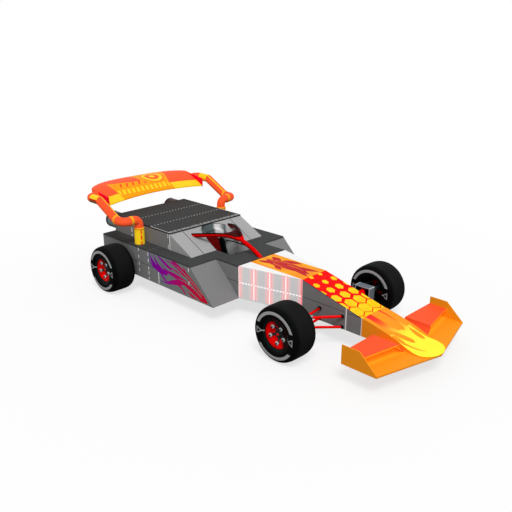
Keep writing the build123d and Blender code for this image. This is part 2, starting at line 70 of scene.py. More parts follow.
def paint(code):
    """Linear colour of a six-figure paint code: each channel c goes to ((c + 0.055) / 1.055) ** 2.4, or near
    black to c / 12.92."""
    parts = [int(code[i : i + 2], 16) / 255 for i in (0, 2, 4)]
    return tuple(c / 12.92 if c <= 0.04045 else ((c + 0.055) / 1.055) ** 2.4 for c in parts) + (1.0,)


GREY = paint("828282")
DARK = paint("404141")
PALE = paint("A8A8A8")
WHITE = paint("F6F6F6")
WHITE_LINE = paint("F4F4F4")
ORANGE = paint("FF9A1C")
RED_ORANGE = paint("FF5A2D")
YELLOW = paint("FFD320")
RED = paint("FF0000")
DEEP_RED = paint("C40010")
SEAM = paint("2A2A2A")
UNLIT = (0, 0, 0, 1)

# ---------------- surface finishes


class Field:
    """A value that varies over a surface: one shader socket, on which arithmetic adds Math nodes."""

    def __init__(self, finish, socket):
        self.finish = finish
        self.socket = socket

    def math(self, operation, *others, clamp=False):
        """One Math node on this value and the others, cut to 0 to 1 where clamp is set."""
        settings = {"operation": operation, "use_clamp": clamp}
        return self.finish.node("Math", settings, dict(enumerate((self, *others))))

    def __add__(self, other):
        return self.math("ADD", other)

    __radd__ = __add__

    def __sub__(self, other):
        return self.math("SUBTRACT", other)

    def __rsub__(self, other):
        return self.math("MULTIPLY_ADD", -1.0, other)

    def __mul__(self, other):
        return self.math("MULTIPLY", other)

    __rmul__ = __mul__

    def __pow__(self, other):
        return self.math("POWER", other)

    def __abs__(self):
        return self.math("ABSOLUTE")

    def __or__(self, other):
        """The larger of two: either mask."""
        return self.math("MAXIMUM", other)

    def __and__(self, other):
        """The smaller of two: where both masks hold."""
        return self.math("MINIMUM", other)

    def root(self):
        return self.math("SQRT")

    def ramp(self, start, end):
        """0 at the start to 1 at the end, straight between and level outside."""
        return self.math("MULTIPLY_ADD", 1 / (end - start), -start / (end - start), clamp=True)

    def above(self, edge, soft=0.002):
        """1 above the edge and 0 below it, straight over the soft width."""
        return self.ramp(edge - soft / 2, edge + soft / 2)

    def below(self, edge, soft=0.002):
        """1 below the edge and 0 above it, straight over the soft width."""
        return self.ramp(edge + soft / 2, edge - soft / 2)

    def near(self, place, half, soft=0.002):
        """1 within half of the place."""
        return abs(self - place).below(half, soft)

    def between(self, low, high, soft=0.002):
        """1 from low to high."""
        return self.near((low + high) / 2, (high - low) / 2, soft)

    def spacing(self, pitch, first=0.0):
        """Distance to the nearest of the marks that repeat every pitch from the first."""
        return (self - first).math("PINGPONG", pitch / 2)

    def glow(self, place, reach):
        """Falls from 1 at the place to 0 at the reach, by the square of what is left."""
        left = abs(self - place).ramp(reach, 0.0)
        return left * left


class Graph:
    """A node tree: one method adds any node, and its outputs come back as Fields."""

    def __init__(self, tree):
        self.tree = tree

    def node(self, kind, settings=None, values=None, out=0):
        """Adds a node with its settings, then its socket values or links. Gives one output as a Field."""
        made = self.tree.nodes.new("ShaderNode" + kind)
        for name, value in (settings or {}).items():
            if name == "stops":
                ramp = made.color_ramp.elements
                while len(ramp) < len(value):
                    ramp.new(0.5)
                for element, (place, colour) in zip(ramp, value):
                    element.position, element.color = place, colour
            else:
                setattr(made, name, value)
        for socket, value in (values or {}).items():
            self.put(made.inputs[socket], value)
        return Field(self, made.outputs[out])

    def put(self, socket, value):
        """Links a Field to a socket, or sets the socket to a plain value."""
        if isinstance(value, Field):
            self.tree.links.new(value.socket, socket)
        else:
            socket.default_value = value


class Finish(Graph):
    """A paint, plastic, metal or rubber: one material whose Principled shader is fed by Fields."""

    def __init__(self, name, **constants):
        self.material = bpy.data.materials.new(name)
        self.material.use_nodes = True
        super().__init__(self.material.node_tree)
        self.shader = self.tree.nodes["Principled BSDF"]
        self.parts = {}
        self.feed(**constants)

    def axes(self, output):
        """One vector output of the Texture Coordinate node, and its three numbers as Fields."""
        if output not in self.parts:
            vector = self.node("TexCoord", out=output)
            self.parts[output] = vector, [self.node("SeparateXYZ", None, {0: vector}, i) for i in range(3)]
        return self.parts[output]

    @property
    def place(self):
        return self.axes("Object")[0]

    @property
    def xyz(self):
        return self.axes("Object")[1]

    @property
    def facing(self):
        return self.axes("Normal")[1]

    def noise(self, scale, detail=3.0, rough=0.5, stretch=(1, 1, 1)):
        """Cloudy variation from 0 to 1, with so many lumps a metre."""
        where = self.node("Mapping", None, {0: self.place, "Scale": tuple(scale * s for s in stretch)})
        values = {"Vector": where, "Scale": 1.0, "Detail": detail, "Roughness": rough}
        return self.node("TexNoise", None, values)

    def over(self, under, top, mask):
        """A colour with another painted on it where the mask is 1."""
        return self.node("Mix", {"data_type": "RGBA"}, {0: mask, 6: under, 7: top}, 2)

    def shade(self, colour, amount):
        """A colour made darker or lighter by a Field round 1."""
        grey = self.node("CombineColor", None, {0: amount, 1: amount, 2: amount})
        settings = {"data_type": "RGBA", "blend_type": "MULTIPLY"}
        return self.node("Mix", settings, {0: 1.0, 6: colour, 7: grey}, 2)

    def feed(self, **fields):
        """Links Fields to the shader's sockets, or sets numbers on them."""
        for name, value in fields.items():
            self.put(self.shader.inputs[name.replace("_", " ")], value)

    def shine(self, strength, colour, mask):
        """A faint light of its own, in a colour, where the mask is 1."""
        self.feed(Emission_Strength=strength, Emission_Color=self.over(UNLIT, colour, mask))

    def relief(self, height, depth):
        """Bump from a height Field that spans the depth in metres."""
        bump = self.node("Bump", None, {"Height": height, "Distance": depth, "Strength": 1.0})
        self.feed(Normal=bump)

    def wear(self, *nodes):
        """Puts this finish on CAD nodes."""
        for name in nodes:
            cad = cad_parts[name]
            if not cad.material_slots:
                cad.data.materials.append(self.material)
            for place in cad.material_slots:
                place.material = self.material


class Bodywork(Finish):
    """Painted or moulded panel: coats of colour with a fine grain and faint clouds, and tiny pits."""

    def __init__(self, name, colour, rough=0.55, gloss=0.08, grain=0.05):
        super().__init__(name, Specular_IOR_Level=gloss)
        fine = self.noise(260, 2.0)
        cloud = self.noise(2.4, 4.0, 0.55)
        self.tone = fine * grain + cloud * (grain * 0.8) + (1 - grain * 0.9)
        self.coat = colour
        self.feed(Roughness=cloud * 0.12 + fine * 0.08 + (rough - 0.1))
        self.relief(fine, 0.0006)

    def layer(self, colour, mask):
        """Paints a colour on the coat where the mask is 1."""
        self.coat = self.over(self.coat, colour, mask)

    def paint_side_light(self):
        """Painted light: a faint glow in the coat's own colour on faces that don't look up."""
        self.shine(0.2, self.coat, self.facing[2].below(0.5, 0.4))

    def cover(self, *nodes):
        """Gives the coat its grain, feeds it to the shader, and puts the finish on CAD nodes."""
        self.feed(Base_Color=self.shade(self.coat, self.tone))
        self.wear(*nodes)


def any_of(masks):
    """The largest of many Fields at each point."""
    return reduce(lambda one, other: one | other, masks)


def lick(u, v, root, tip, bow, width):
    """How deep a point lies inside one tongue of flame, in metres. Along runs 0 at the root to 1 at the tip.
    The middle line leaves the chord by bow times 4 along (1 - along), to the left of the way to the tip. The
    half width is 1.36 width (1 - along)(0.55 + 1.65 along), which is width at its widest. Past the root the
    depth falls with the distance from it."""
    du, dv = tip[0] - root[0], tip[1] - root[1]
    length = math.hypot(du, dv)
    raw = u * (du / length**2) + v * (dv / length**2) - (root[0] * du + root[1] * dv) / length**2
    along = raw.ramp(0.0, 1.0)
    aside = v * (du / length) - u * (dv / length) + (root[0] * dv - root[1] * du) / length
    arc = along * (1 - along) * (4 * bow)
    half = (1 - along) * (along * (2.244 * width) + 0.748 * width)
    return half - abs(aside - arc) - abs(raw - along) * length


def blaze(u, v, strokes):
    """The deepest of many tongues at each point. Each has its root, its tip, its bow and its half width."""
    return any_of(lick(u, v, *stroke) for stroke in strokes)


def dashes(x, high, at, heights):
    """Upright white dashes on one station, 18 mm wide and 52 mm tall, at the heights above the belly."""
    tall = any_of(high.near(height, 0.026) for height in heights)
    return x.near(at, 0.009) * tall


def waist_seam(z):
    """A thin line halfway up the body."""
    return z.near(WAIST_Z, 0.003, 0.003)


# ---------------- livery


def side_panels():
    """Grey sides: a dark waist seam, broken white seams, and flames from purple behind to red in front."""
    finish = Bodywork("flamed_side_panel", GREY)
    x, _, z = finish.xyz
    high = z - BELLY_Z
    strokes = [
        ((-0.80, 0.215), (-1.212, 0.458), 0.088, 0.043),
        ((-0.95, 0.235), (-1.216, 0.372), 0.060, 0.017),
        ((-0.88, 0.250), (-1.108, 0.456), 0.040, 0.023),
        ((-0.70, 0.310), (-1.034, 0.458), 0.008, 0.025),
        ((-0.76, 0.255), (-0.93, 0.352), 0.012, 0.012),
        ((0.035, 0.020), (-0.742, 0.466), -0.052, 0.037),
        ((-0.40, 0.305), (-0.740, 0.464), -0.012, 0.036),
        ((-0.43, 0.290), (-0.860, 0.412), -0.040, 0.016),
        ((-0.50, 0.280), (-0.770, 0.335), -0.014, 0.012),
        ((-0.28, 0.250), (-0.442, 0.436), 0.018, 0.020),
        ((0.030, -0.010), (-1.000, 0.250), -0.086, 0.044),
        ((-0.42, 0.190), (-0.820, 0.088), 0.002, 0.042),
        ((-0.80, 0.090), (-0.988, 0.242), 0.012, 0.020),
        ((-0.70, 0.088), (-0.988, 0.082), 0.010, 0.011),
        ((-0.40, 0.015), (-0.660, 0.115), -0.048, 0.018),
        ((-0.12, -0.015), (-0.370, 0.095), 0.004, 0.024),
    ]
    gaps = [
        ((-0.06, 0.120), (-0.66, 0.405), -0.034, 0.009),
        ((-0.06, 0.070), (-0.58, 0.205), -0.050, 0.009),
    ]
    depth = blaze(x, high, strokes) & (0.0 - blaze(x, high, gaps))
    stops = [
        (0.0, paint("8A00A6")),
        (0.3, paint("9800A0")),
        (0.5, paint("BE007C")),
        (0.72, paint("D0004C")),
        (1.0, paint("DC0030")),
    ]
    flame = finish.node("ValToRGB", {"stops": stops}, {0: x.ramp(-1.2, -0.05)})
    tint = depth.ramp(-0.05, 0.0) * x.above(station(-6), 0.03)
    finish.layer(paint("6F8C84"), tint * 0.75)
    finish.layer(SEAM, waist_seam(z) * x.below(station(-5), 0.01))
    white = dashes(x, high, station(-7), (0.425, 0.31, 0.205, 0.11))
    white = white | dashes(x, high, station(-6), (0.40, 0.31, 0.19, 0.118, 0.03))
    white = white | x.near(station(-5), 0.009) * high.below(0.235, 0.01)
    white = white | dashes(x, high, station(-2) - 0.02, (0.21, 0.40))
    finish.layer(WHITE_LINE, white)
    finish.layer(flame, depth.above(0.0, 0.003))
    finish.cover("side_panel_left", "side_panel_right")


def deck():
    """Charcoal deck: faint dotted seams six and seven modules behind the dash, and a painted shadow, dark
    purple, along its front edge.
    """
    finish = Bodywork("deck_skin", DARK, 0.6, 0.03, 0.1)
    x, y, _ = finish.xyz
    dots = y.spacing(0.046).below(0.010, 0.003)
    line = x.near(station(-6), 0.004) | x.near(station(-7), 0.004)
    finish.layer(paint("9A9A9A"), dots * line * abs(y).above(COVER_Y) * 0.7)
    # painted shadow: a dark purple strip along the deck's front edge
    dash = x.above(DASH_X - 0.014, 0.004) & abs(y).below(2 * MODULE, 0.004)
    finish.layer(paint("2A0A34"), dash)
    finish.cover("deck_panel")


def roof():
    """Charcoal roof with a light line round its front and sides, and a broken one behind the front edge."""
    finish = Bodywork("roof_skin", paint("3A3A3A"), 0.6, 0.03, 0.1)
    x, y, _ = finish.xyz
    edge = (ROOF_HIGH.x - x) & (COVER_Y - abs(y))
    broken = (x + y).spacing(0.08).below(0.026, 0.004)
    lines = edge.near(0.008, 0.006) * x.above(station(-7), 0.01)
    lines = lines | x.near(ROOF_HIGH.x - 0.044, 0.008) * broken
    dark = edge.near(0.024, 0.008, 0.004)
    finish.layer(paint("1C1C1C"), dark * 0.8)
    finish.layer(paint("D8D8D8"), lines * 0.8)
    finish.cover("roof_panel")


def cover_sides():
    """Grey walls of the engine cover: a broken white seam at the ninth module, white lines at the front."""
    finish = Bodywork("cover_wall", GREY)
    x, _, z = finish.xyz
    white = x.near(station(-9) - 0.016, 0.012) * z.spacing(0.1, DECK_Z).below(0.036, 0.003)
    white = white | x.near(ROOF_HIGH.x - 0.012, 0.010)
    white = white | x.near(ROOF_HIGH.x - 0.048, 0.007) * z.spacing(0.16, DECK_Z + 0.04).below(0.034)
    finish.layer(SEAM, x.near(ROOF_HIGH.x - 0.030, 0.005))
    finish.layer(WHITE_LINE, white)
    finish.cover("cover_sides", "seat_bulkhead")


def plain_grey():
    """Grey panels with a dark seam at the waist, and painted light: paler inside the cockpit, where the walls
    stand in shade.
    """
    finish = Bodywork("grey_panel", GREY)
    x, y, z = finish.xyz
    seam = waist_seam(z) * abs(finish.facing[2]).below(0.3, 0.1)
    cockpit = abs(y).below(MODULE + 0.004) * x.above(ROOF_HIGH.x)
    # painted light: the cockpit's inner walls are painted paler so they look lit
    finish.layer(paint("C8CECE"), cockpit)
    finish.layer(SEAM, abs(y).near(2 * MODULE, 0.003) * x.below(ROOF_LOW.x + 0.03))
    finish.layer(SEAM, seam)
    finish.cover("cell_walls", "tail_panel", "pod_fronts")


def ramps():
    """Pale ramps beside the cockpit with one dark seam along each."""
    finish = Bodywork("pale_ramp", PALE, 0.6, 0.08, 0.09)
    seam_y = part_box("cell_walls")[1].y
    seam = abs(finish.xyz[1]).near(seam_y, 0.005) * abs(finish.facing[1]).below(0.5, 0.1)
    finish.layer(SEAM, seam)
    finish.cover("cockpit_ramp_left", "cockpit_ramp_right")


def footwell():
    """White section: seams every module and a broken waist line that glow white with painted light, a rosy
    painted glow round the seams, and an orange band with licks.
    """
    finish = Bodywork("white_section", WHITE, 0.5, 0.1, 0.03)
    x, y, z = finish.xyz
    side = finish.facing[2].below(0.5, 0.1)
    seams = x.spacing(MODULE, DASH_X)
    rosy = seams.ramp(0.078, 0.008) * side
    core = seams.near(0.0, 0.007, 0.006) * side
    waist = z.near(WAIST_Z, 0.008, 0.005) * x.spacing(0.046, DASH_X + 0.02).below(0.016, 0.006) * side
    deep = (seams.near(0.022, 0.004, 0.006) * 0.3 | x.above(WEDGE_X - 0.014)) * side
    crossing = (seams**2 + (abs(z - WAIST_Z) & abs(z - DECK_Z)) ** 2).root()
    knots = crossing.below(0.012, 0.008) * side * 0.8
    # painted glow: a rosy halo round each seam on the sides
    finish.layer(paint("FFEEEE"), rosy)
    finish.layer(paint("F00018"), deep | knots)
    strokes = [
        ((DASH_X + 0.16, -0.01), (WEDGE_X - 0.05, -0.03), 0.020, 0.105),
        ((DASH_X + 0.24, 0.07), (DASH_X + 0.06, 0.12), -0.010, 0.050),
        ((DASH_X + 0.20, -0.05), (DASH_X + 0.03, -0.11), 0.010, 0.045),
        ((DASH_X + 0.30, 0.10), (WEDGE_X - 0.36, 0.185), 0.012, 0.050),
        ((DASH_X + 0.34, -0.09), (WEDGE_X - 0.42, -0.16), -0.012, 0.036),
        ((WEDGE_X - 0.34, 0.05), (WEDGE_X - 0.03, 0.13), -0.015, 0.045),
        ((WEDGE_X - 0.26, -0.05), (WEDGE_X - 0.02, -0.11), 0.012, 0.032),
    ]
    inner = [
        ((DASH_X + 0.20, 0.050), (DASH_X + 0.52, 0.075), 0.020, 0.010),
        ((DASH_X + 0.24, -0.045), (DASH_X + 0.50, -0.055), -0.016, 0.009),
        ((DASH_X + 0.44, 0.020), (DASH_X + 0.74, 0.000), 0.024, 0.009),
        ((DASH_X + 0.13, 0.010), (DASH_X + 0.30, 0.005), 0.014, 0.010),
    ]
    motif = finish.over(DEEP_RED, paint("E8781A"), blaze(x, y, inner).above(0.0, 0.004))
    clouds = finish.noise(7, 2.0, 0.5, (0.4, 1.6, 1))
    orange = finish.over(paint("FF9400"), paint("FFB414"), clouds.ramp(0.4, 0.62))
    design = finish.over(orange, motif, blaze(x, y, strokes).above(0.0, 0.004))
    finish.layer(design, (1 - side) * abs(y).below(MODULE, 0.003))
    # painted light: the seams glow rosy round white cores, and the waist line glows white
    light = finish.over(UNLIT, paint("FF1020"), rosy * 0.9)
    light = finish.over(light, (1, 1, 1, 1), core | waist)
    finish.feed(Emission_Strength=0.5, Emission_Color=light)
    finish.cover("footwell_top", "footwell_sides")


def nose_wedge():
    """Yellow honeycomb on red, whose cells grow towards the nose. The grey sides have their seams, and a
    painted shadow, dark purple, just under the top's edge.
    """
    finish = Bodywork("honeycomb_nose", GREY)
    x, y, z = finish.xyz
    row, column, first, growth = 0.1556, 0.086, 1.1, 0.0733
    apothem = (x * growth + (0.028 - growth * first)) & 0.0825
    cells = []
    for first_x, first_y in ((first, column), (first + row, 0.0)):
        ahead, aside = x.spacing(2 * row, first_x), y.spacing(2 * column, first_y)
        reach = aside | (aside * 0.5 + ahead * 0.866)
        cells.append((apothem - reach).above(0.0, 0.003))
    cell = finish.over(paint("FFC800"), paint("FFDC20"), finish.noise(9, 2.0, 0.5).ramp(0.35, 0.65))
    comb = finish.over(RED, cell, any_of(cells))
    fall = (DECK_Z - WAIST_Z) / (CONE_X - WEDGE_X)
    under = DECK_Z - (x - WEDGE_X) * fall - z
    finish.layer(SEAM, waist_seam(z))
    # painted shadow: a dark purple line on the sides just under the top's edge
    finish.layer(paint("2C1450"), under.below(0.008, 0.006))
    finish.layer(WHITE_LINE, x.near(station(7), 0.009) | x.near(CONE_X, 0.010))
    finish.layer(comb, finish.facing[2].above(0.5, 0.1))
    finish.cover("nose_wedge", "nose_box")


def nose_cone():
    """Orange cone whose yellow tip burns back in two long bands, from yellow to red, and in short tongues."""
    finish = Bodywork("flamed_nose", ORANGE, 0.5, 0.08, 0.03)
    x, y, _ = finish.xyz
    top = finish.facing[2].above(0.35, 0.1)
    swing = x.ramp(CONE_X + 0.28, CONE_X + 0.54)
    left_band = 0.052 - abs(y - swing * swing * 0.16 + 0.12)
    right_band = 0.021 - abs(y - 0.092)
    body = x - (CONE_X + 0.385)
    strokes = [
        ((CONE_X + 0.37, 0.030), (CONE_X - 0.50, -0.010), 0.0, 0.070),
        ((CONE_X + 0.58, -0.045), (CONE_X + 0.25, -0.200), 0.010, 0.040),
        ((CONE_X + 0.42, -0.205), (CONE_X + 0.60, -0.180), 0.0, 0.035),
        ((CONE_X + 0.54, -0.185), (CONE_X + 0.775, -0.062), -0.012, 0.014),
        ((CONE_X + 0.605, 0.130), (CONE_X + 0.41, 0.120), 0.008, 0.036),
        ((CONE_X + 0.40, 0.215), (CONE_X + 0.70, 0.235), 0.0, 0.050),
    ]
    fire = (left_band | right_band | body).above(0.0, 0.006) & blaze(x, y, strokes).below(0.0, 0.006)
    stops = [
        (0.0, paint("FF1C28")),
        (0.12, paint("FF3A22")),
        (0.22, paint("FF6A20")),
        (0.31, paint("FF9C2C")),
        (0.40, paint("FFC83A")),
        (0.50, paint("FFF03C")),
        (1.0, paint("FFFF3C")),
    ]
    flame = finish.node("ValToRGB", {"stops": stops}, {0: x.ramp(CONE_X, TIP_X)})
    finish.layer(flame, fire * top)
    finish.cover("nose_cone")


def front_wing():
    """Orange wing, lit with painted light under the flaps in place of their shadow; end plates duller inside;
    and red-orange flaps, orange with painted light below. A flap's front edge sweeps back by 0.195 of the way
    outward."""
    plate = Bodywork("endplate_orange", ORANGE, 0.5, 0.06, 0.03)
    inside = (plate.facing[1] * plate.xyz[1]).below(-0.2, 0.1)
    plate.layer(paint("E6A41C"), inside)
    plate.cover("front_endplates")
    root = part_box("front_flap_left")[0]
    chord, sweep = 0.3628, 0.195

    def past_flap(x, y):
        """How far ahead of a flap's front edge a point lies."""
        return (x - root.x - chord) + (abs(y) - root.y) * sweep

    wing = Bodywork("wing_orange", ORANGE, 0.5, 0.06, 0.03)
    x, y, _ = wing.xyz
    under = past_flap(x, y).below(0.01, 0.05) * abs(y).above(root.y - 0.02, 0.02)
    # painted light: an orange glow on the wing's top under the flaps, in place of their shadow
    wing.shine(0.3, ORANGE, under * wing.facing[2].above(0.5, 0.1))
    wing.cover("front_wing")
    flap = Bodywork("flap_red_orange", RED_ORANGE, 0.5, 0.06, 0.03)
    x, y, _ = flap.xyz
    ahead, _, upward = flap.facing
    below = upward.below(-0.3, 0.1) | ahead.above(0.5, 0.1) * upward.below(0.3, 0.1)
    # painted light: the flaps' undersides and front faces glow orange and are painted orange, in place of
    # their shade
    flap.shine(0.4, ORANGE, below)
    flap.layer(paint("FF3C30"), past_flap(x, y).above(-0.006, 0.006))
    flap.layer(ORANGE, below)
    flap.cover("front_flap_left", "front_flap_right")


def rear_wing():
    """Red-orange wing: a yellow leading band, an orange panel with slanted bars, and a blank ringed disc."""
    finish = Bodywork("rear_wing_livery", RED_ORANGE, 0.5, 0.08, 0.03)
    x, y, _ = finish.xyz
    inside = abs(y).below(0.905, 0.003)
    lead = (x - y * y * 0.09).above(-2.362, 0.003)
    left_half = y.above(-0.05, 0.004)
    far = y.below(0.39, 0.004) | (y - x.ramp(-2.36, -2.70) * 0.13).below(0.385, 0.004) * left_half
    rear = (y * -0.147 + x).above(-2.523, 0.004) | left_half
    panel = (x * -0.1 + y).above(-0.385, 0.004) * far * rear
    finish.layer(YELLOW, lead * inside)
    finish.layer(paint("FFA004"), panel * inside)
    slant = (x * 0.5 + y).spacing(0.115, 0.02)
    bars = slant.below(0.014, 0.003) * x.between(-2.545, -2.445, 0.004) * y.between(-0.56, 0.0, 0.004)
    finish.layer(paint("FF3418"), bars)
    tall = (x * 0.3 + y).spacing(0.086).below(0.024, 0.003) * x.between(-2.39, -2.285, 0.004)
    finish.layer(YELLOW, tall * y.between(-0.60, 0.36, 0.004))
    out = ((x + 2.62) ** 2 + (y - 0.225) ** 2).root()
    finish.layer(YELLOW, out.below(0.19, 0.003))
    rings = out.near(0.188, 0.008, 0.003) | out.near(0.085, 0.035, 0.004) * 0.85
    finish.layer(paint("FF3020"), rings)
    finish.layer(paint("F00028"), abs(y).above(0.903, 0.001) * x.above(-2.42, 0.02))
    # painted light: a faint glow on the wing's faces that don't look up
    finish.paint_side_light()
    finish.cover("rear_wing")


def arms():
    """Red-orange pipes with orange bands, a yellow line, and two yellow sleeves: one at the foot with a red
    stripe, and one on the top run that is crimson outside, with painted shade in dark olive below it. Faces
    that look down carry painted shade in dull brown, and faces that don't look up a faint painted glow."""
    finish = Bodywork("arm_livery", RED_ORANGE, 0.5, 0.08, 0.03)
    x, y, z = finish.xyz
    upward = finish.facing[2]
    high = z - DECK_Z
    foot = high.below(0.95 * MODULE)
    stripe = foot * abs(y).near(0.822, 0.010) * x.above(-1.53)
    stripe = stripe * (1 - high.near(0.06, 0.012) - high.near(0.15, 0.008))
    sleeve = x.between(-2.340, -2.150, 0.003) * high.above(0.45, 0.01)
    outside = (finish.facing[1] * y).above(0.0, 0.1) * sleeve
    line = abs(y).near(1.036, 0.009) * x.between(-2.17, -1.72, 0.01) * upward.above(0.3, 0.1)
    bands = abs(y).near(0.935, 0.020, 0.003) * high.above(0.25) * x.above(-1.7)
    bands = bands | x.near(ARM_BAND_X, 0.018, 0.003) * high.above(0.2)
    finish.layer(YELLOW, foot | sleeve | line)
    finish.layer(paint("FF2A20"), stripe)
    finish.layer(paint("FFB020"), bands | high.near(0.232, 0.014))
    # painted shade: dull brown on faces that look down
    finish.layer(paint("7A2A10"), upward.below(-0.55, 0.3) * 0.6)
    finish.layer(paint("D8002A"), outside * upward.below(0.30, 0.1))
    # painted shade: dark olive on the top-run sleeve's outside faces that look down
    finish.layer(paint("6A5400"), outside * upward.below(-0.10, 0.1))
    # painted light: a faint glow on faces that don't look up
    finish.paint_side_light()
    finish.cover("wing_arm_left", "wing_arm_right")


def about_axle(finish, node):
    """Way ahead of a wheel's axle, way above it, and distance from it."""
    x, _, z = finish.xyz
    centre = middle_of(node)
    ahead, up = x - centre.x, z - centre.z
    return ahead, up, (ahead * ahead + up * up).root()


def tyre_rubber(wheel):
    """Black slick with a grey arc over the top and bottom of each side wall and grey forks fore and aft."""
    node = f"tyre_{wheel}"
    finish = Finish(f"slick_rubber_{wheel}", Specular_IOR_Level=0.05)
    fine = finish.noise(320, 2.0)
    cloud = finish.noise(5, 4.0)
    _, up, radius = about_axle(finish, node)
    wall = abs(finish.facing[1]).above(0.6, 0.1)
    shoulder = abs(finish.xyz[1] - middle_of(node).y).ramp(0.105, 0.15)
    arc = radius.between(0.256, 0.293, 0.003) * (up.above(0.105, 0.004) | up.below(-0.155, 0.004))
    prong = abs(abs(up) - (radius - 0.205) * 0.55).below(0.007, 0.003) * radius.below(0.278, 0.003)
    bar = radius.between(0.266, 0.278, 0.003) * abs(up).below(0.038, 0.003)
    black = finish.over(paint("1A1A1A"), paint("101112"), cloud)
    # painted shade: the tread's shoulders and the side walls are a deeper black, partly the rubber's own
    # colour
    black = finish.over(black, paint("040505"), shoulder | wall)
    colour = finish.over(black, paint("A8A8A8"), (arc | prong | bar) * wall)
    finish.feed(Base_Color=finish.shade(colour, fine * 0.2 + 0.9))
    finish.feed(Roughness=fine * 0.15 + cloud * 0.1 + 0.65)
    finish.relief(fine, 0.0012)
    finish.wear(node)


def rim_paint(wheel):
    """Red dish inside a black cone and lip, about each wheel's own axle. Painted shade darkens the dish's
    upper front side and a ring near its edge, and a painted teal sheen lies on the lip's lower rear half; all
    turn with the wheel.
    """
    node = f"rim_{wheel}"
    finish = Bodywork(f"rim_paint_{wheel}", paint("F40000"), 0.4, 0.05, 0.03)
    ahead, up, radius = about_axle(finish, node)
    across = ahead * 0.87 + up * 0.5
    # painted shade: a dark red ring near the edge of the dish
    finish.layer(paint("7A0000"), radius.glow(0.168, 0.03) * 0.8)
    # painted shade: the dish's upper front side fades to near black; the centre under the hub is near black
    # too
    finish.layer(paint("0A0202"), across.ramp(-0.012, 0.05) | radius.below(0.060, 0.003))
    finish.layer(paint("030505"), radius.above(0.170, 0.003))
    # painted sheen: a dark teal ring on the lip's lower rear half
    finish.layer(paint("0E2A2C"), radius.glow(0.188, 0.010) * across.ramp(0.05, -0.05))
    stem = abs(up).below(0.008, 0.003) * radius.above(0.178, 0.003)
    finish.layer(paint("A8A8A8"), stem)
    finish.cover(node)


def bare_metal(name, colour, rough, *nodes):
    """Turned or cast metal: fine streaks and wide patches in colour, roughness and relief."""
    finish = Finish(name, Specular_IOR_Level=0.4, Metallic=0.9)
    fine = finish.noise(240, 3.0, 0.6)
    cloud = finish.noise(8, 4.0)
    finish.feed(Base_Color=finish.shade(colour, fine * 0.25 + cloud * 0.2 + 0.78))
    finish.feed(Roughness=fine * 0.12 + cloud * 0.15 + rough)
    finish.relief(fine, 0.0008)
    finish.wear(*nodes)


def wishbones():
    """Bright red arms with black sockets at the car's side, and upper rear legs with a black top, painted a
    darker red as painted shade.
    """
    finish = Bodywork("wishbone_red", RED, 0.4, 0.06, 0.03)
    x, y, z = finish.xyz
    rear = x.below(1.39, 0.02) * z.above(0.34, 0.01)
    # painted shade: a darker red on the upper rear legs
    finish.layer(paint("B00000"), rear)
    black = abs(y).below(0.256) | rear * finish.facing[2].above(0.8, 0.2)
    finish.layer(paint("0A0A0A"), black)
    finish.cover("front_wishbones_left", "front_wishbones_right")


def exhaust_metal():
    """Grey pipes, black with soot at the rim and with painted shade below, and dark red on top and in spots
    of heat.
    """
    finish = Bodywork("exhaust_heat", paint("8E9A9C"), 0.45, 0.15, 0.1)
    upward = finish.facing[2]
    # black at the mouth is soot; black on faces that look down is painted shade
    soot = finish.xyz[0].below(-2.575, 0.01) | upward.below(-0.45, 0.2) * 0.85
    spots = finish.noise(14, 1.0).above(0.62, 0.05)
    finish.layer(paint("08090A"), soot)
    finish.layer(paint("6A1010"), spots * 0.8)
    finish.layer(paint("3A0C10"), upward.above(0.5, 0.3) * 0.8)
    finish.feed(Metallic=0.3)
    finish.cover("exhausts")


def halo_paint():
    """Red pillar and outer sides, black along the top of the arms, dark red inside and on the web, and
    painted shade, a darker red, on faces that look down.
    """
    finish = Bodywork("halo_red", paint("E00000"), 0.5, 0.03, 0.03)
    x, y, _ = finish.xyz
    upward = finish.facing[2]
    behind = x.below(-0.29, 0.02)
    inside = (finish.facing[1] * y).below(0.0, 0.01) * behind
    web = upward.above(0.93, 0.04) * x.between(-0.50, -0.27, 0.01) * abs(y).below(0.16, 0.02)
    finish.layer(paint("380000"), inside * 0.95 | web)
    finish.layer(paint("020000"), upward.above(0.55, 0.1) * behind * (1 - web))
    # painted shade: a darker red on faces that look down
    finish.layer(paint("800000"), upward.below(0.05, 0.5) * 0.8)
    finish.cover("halo")


def upright_paint():
    """Grey boxes with painted highlights along their edges, and painted shade, near black, across the outer
    face within a grey frame, as the dark of a hollow.
    """
    finish = Bodywork("upright_grey", paint("6E7880"), 0.4, 0.1, 0.06)
    x, y, z = finish.xyz
    low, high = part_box("upright_left")
    inner, outer = 2.5 * MODULE, 3 * MODULE
    across = (x - low.x) & (high.x - x)
    upward = (z - low.z) & (high.z - z)
    corner = across & upward
    reach = abs(y).near((inner + outer) / 2, (outer - inner) / 2)
    hollow = corner.above(0.009, 0.004) * abs(y).above(inner + 0.004)
    # painted shade: the outer face within its frame is near black, as the dark of a hollow
    finish.layer(paint("14181C"), hollow * reach)
    edges = across.below(0.008) & upward.below(0.012) | corner.below(0.012) * abs(y).below(inner + 0.002)
    # painted highlights: pale lines along the edges
    finish.layer(paint("D8DCE0"), edges * reach)
    finish.cover("upright_left", "upright_right")


def seat_shell():
    """Dark red shell with black sides."""
    finish = Bodywork("seat_red", paint("6A0000"), 0.6, 0.04)
    sides = abs(finish.xyz[1]).above(0.146, 0.003)
    finish.layer(paint("081010"), sides)
    finish.cover("seat")


def painted_highlight(y):
    """A painted highlight: a soft pale spot on the left half of the headrest."""
    return y.near(0.135, 0.035, 0.03)


